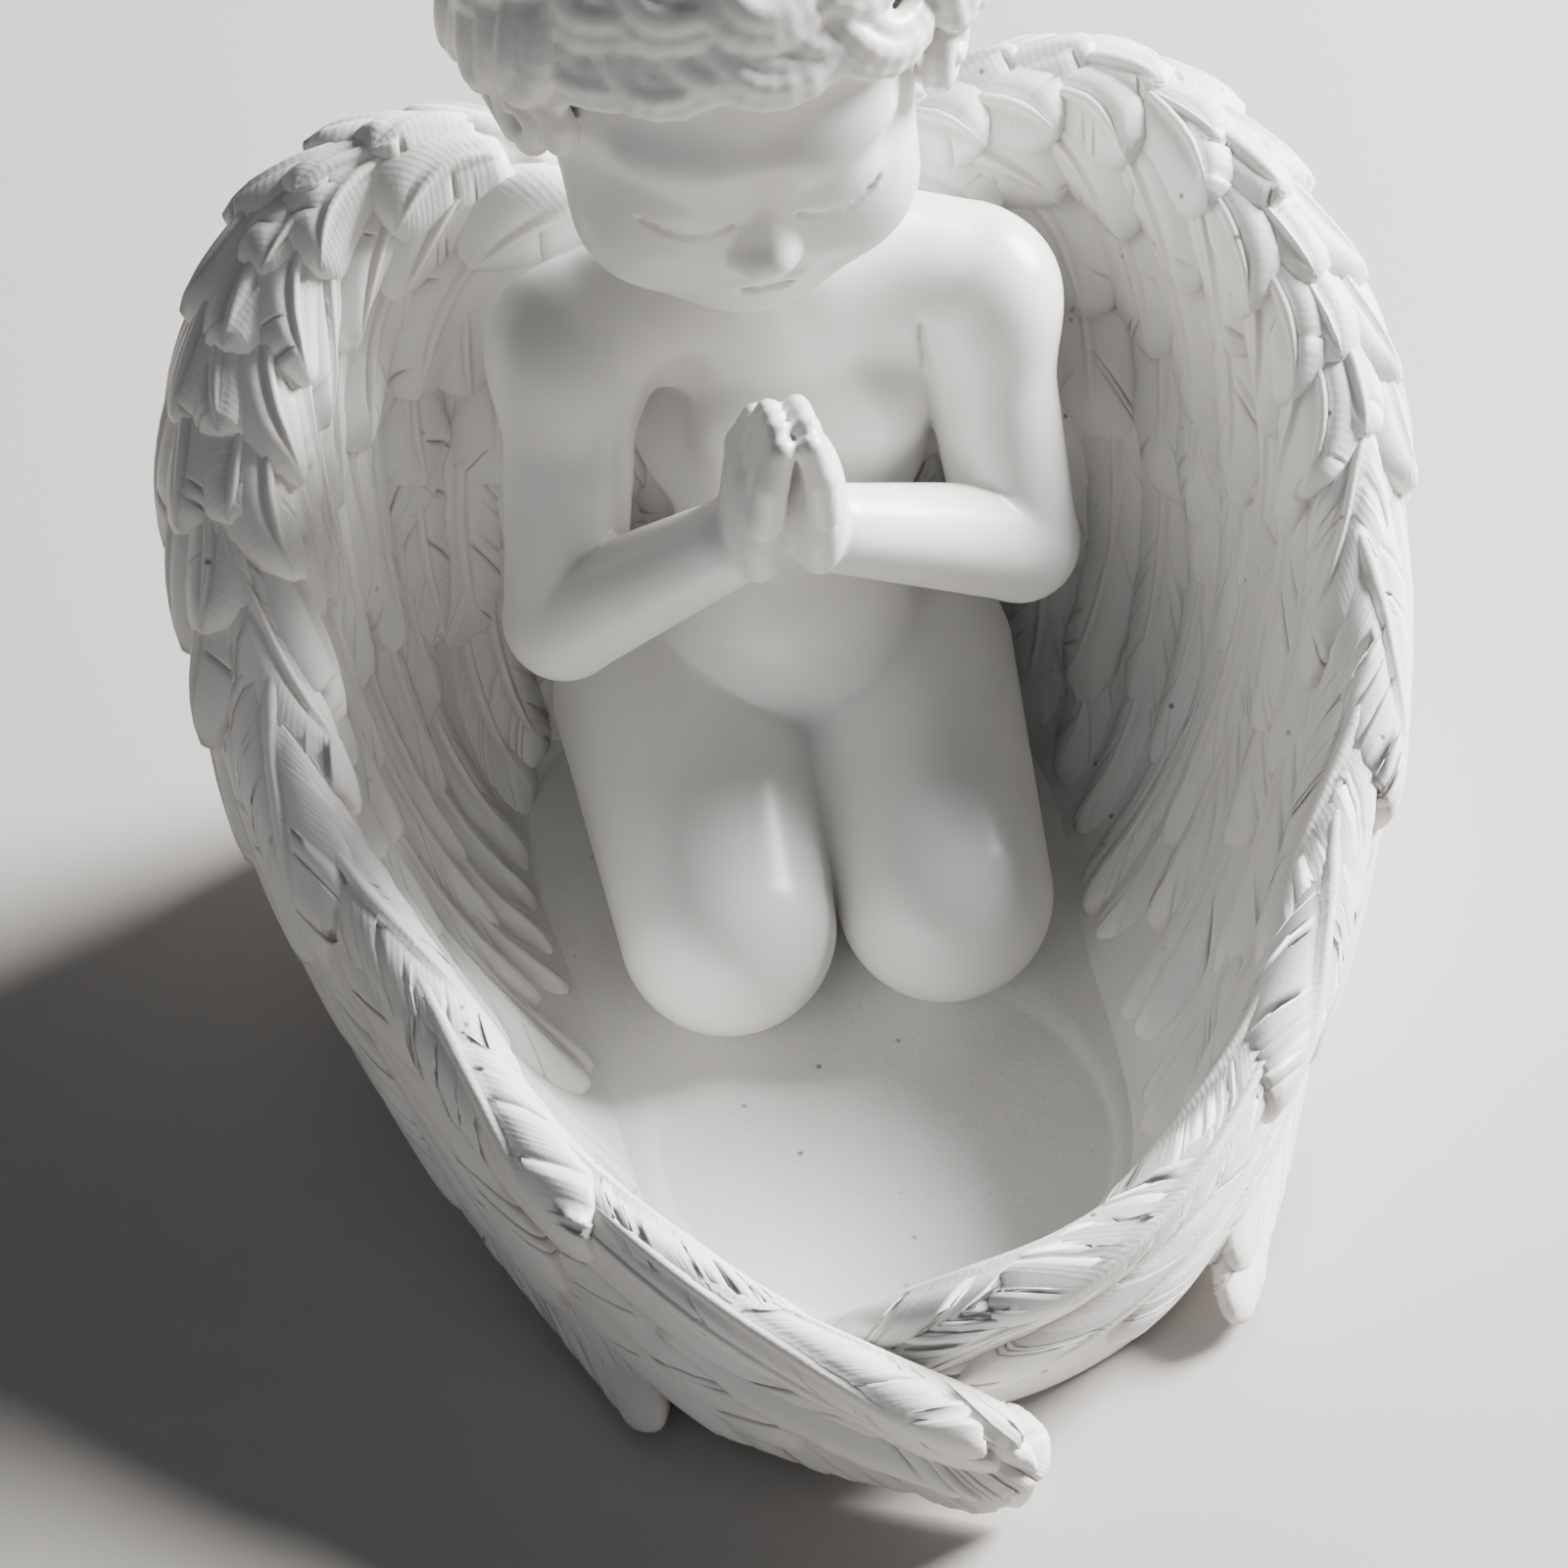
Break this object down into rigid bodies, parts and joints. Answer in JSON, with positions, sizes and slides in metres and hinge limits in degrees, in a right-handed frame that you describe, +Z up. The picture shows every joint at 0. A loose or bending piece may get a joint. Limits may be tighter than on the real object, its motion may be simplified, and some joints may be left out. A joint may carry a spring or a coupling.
{
  "type": "resin angel figurine",
  "caption": "Kneeling praying cherub of cast resin whose two feathered wings sweep forward into a bowl with a flat round floor for a tealight.",
  "frame": {"origin": "on the surface the figurine stands on, under the middle of the bowl's round floor", "axes": "+Z up, -Y to the front, where the wing tips cross, +X to the right of someone who faces the front"},
  "size_m": [0.1345, 0.1327, 0.1424],
  "materials": {
    "smooth_resin": "satin white cast resin, smooth, as on the cherub's skin and hair",
    "carved_resin": "matte white cast resin with fine pits, as on the wings and the bowl",
    "felt": "short-pile felt"
  },
  "bodies": {
    "root": {"cherub_body": "smooth_resin", "cherub_head": "smooth_resin", "left_arm": "smooth_resin", "right_arm": "smooth_resin", "left_wing": "carved_resin", "right_wing": "carved_resin", "dish_base": "carved_resin", "felt_sheet": "felt"}
  },
  "joints": []
}
